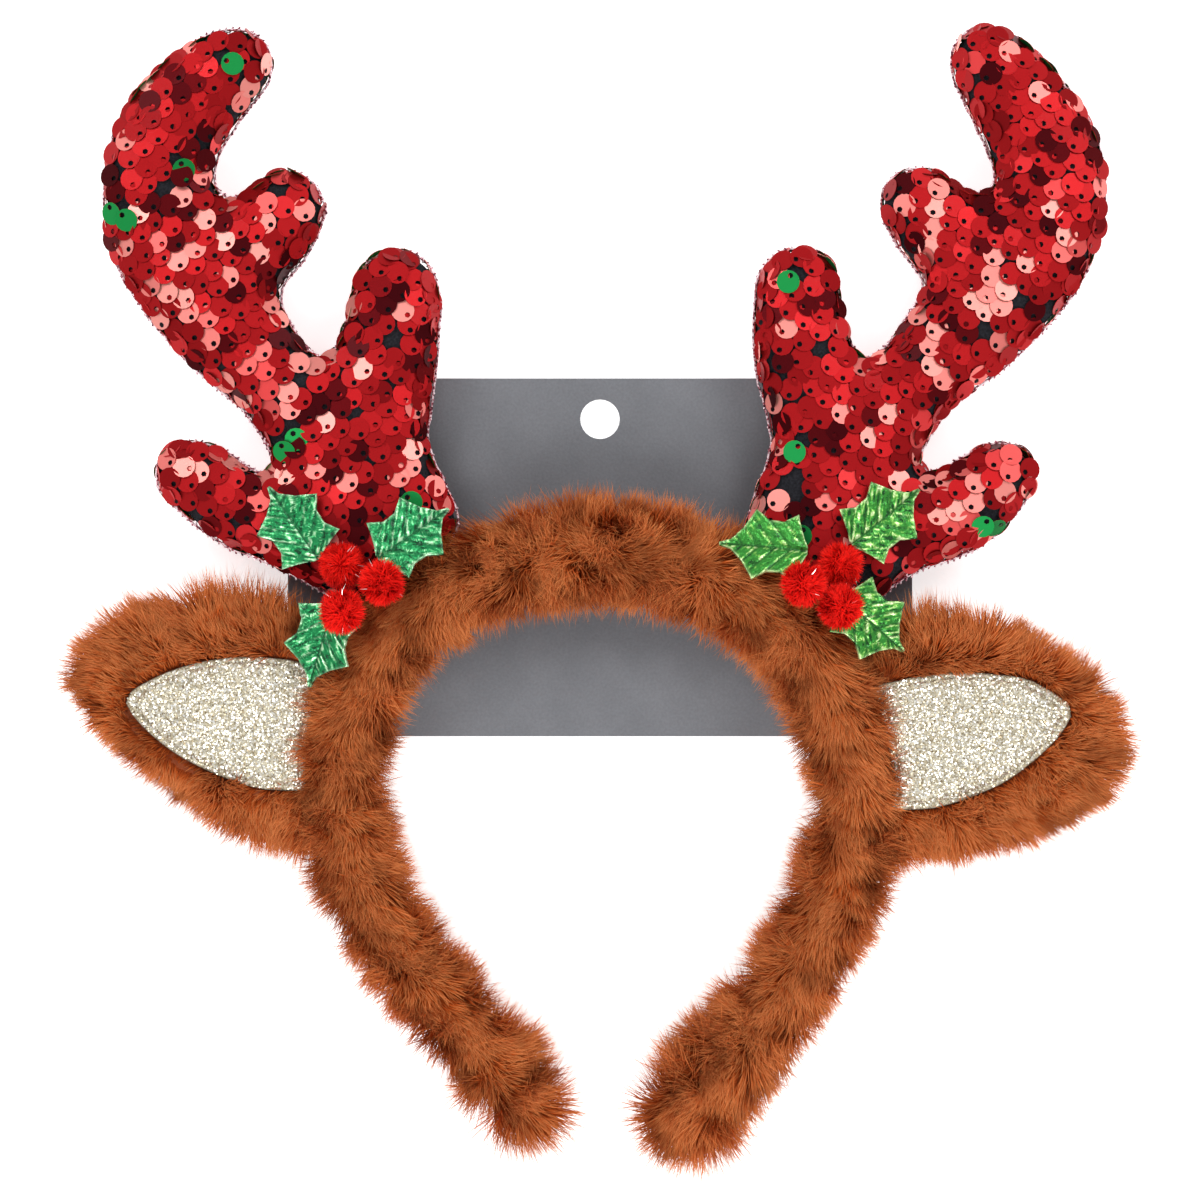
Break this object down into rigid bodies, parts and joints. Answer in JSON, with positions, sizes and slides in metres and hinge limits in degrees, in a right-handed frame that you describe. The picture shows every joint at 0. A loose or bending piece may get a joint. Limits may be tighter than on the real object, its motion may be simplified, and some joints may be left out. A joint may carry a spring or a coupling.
{
  "type": "reindeer antler headband on hang card",
  "caption": "Fur-covered reindeer headband with sequinned antlers, fur ears with glitter inners and holly trims, lying on its plain grey hang card.",
  "frame": {"origin": "centre of the hang card's underside, which lies on the surface", "axes": "+X across the headband, +Y from the head towards the antlers, +Z out of the front, away from the card"},
  "size_m": [0.2769, 0.2958, 0.0411],
  "materials": {
    "faux_fur": "deep caramel brown pile",
    "sequin_fabric": "black cloth under overlapping red sequins, green on their backs",
    "gold_glitter": "pale gold glitter",
    "green_foil": "crinkled metallic foil",
    "red_pompom": "fuzzy",
    "grey_card": "matt"
  },
  "bodies": {
    "root": {"fur_band": "faux_fur", "ear_left": "faux_fur", "ear_right": "faux_fur", "ear_panel_left": "gold_glitter", "ear_panel_right": "gold_glitter", "antler_left": "sequin_fabric", "antler_right": "sequin_fabric", "holly_leaf_left_1": "green_foil", "holly_leaf_left_2": "green_foil", "holly_leaf_left_3": "green_foil", "holly_leaf_right_1": "green_foil", "holly_leaf_right_2": "green_foil", "holly_leaf_right_3": "green_foil", "berry_left_1": "red_pompom", "berry_left_2": "red_pompom", "berry_left_3": "red_pompom", "berry_right_1": "red_pompom", "berry_right_2": "red_pompom", "berry_right_3": "red_pompom", "display_card": "grey_card"}
  },
  "joints": []
}
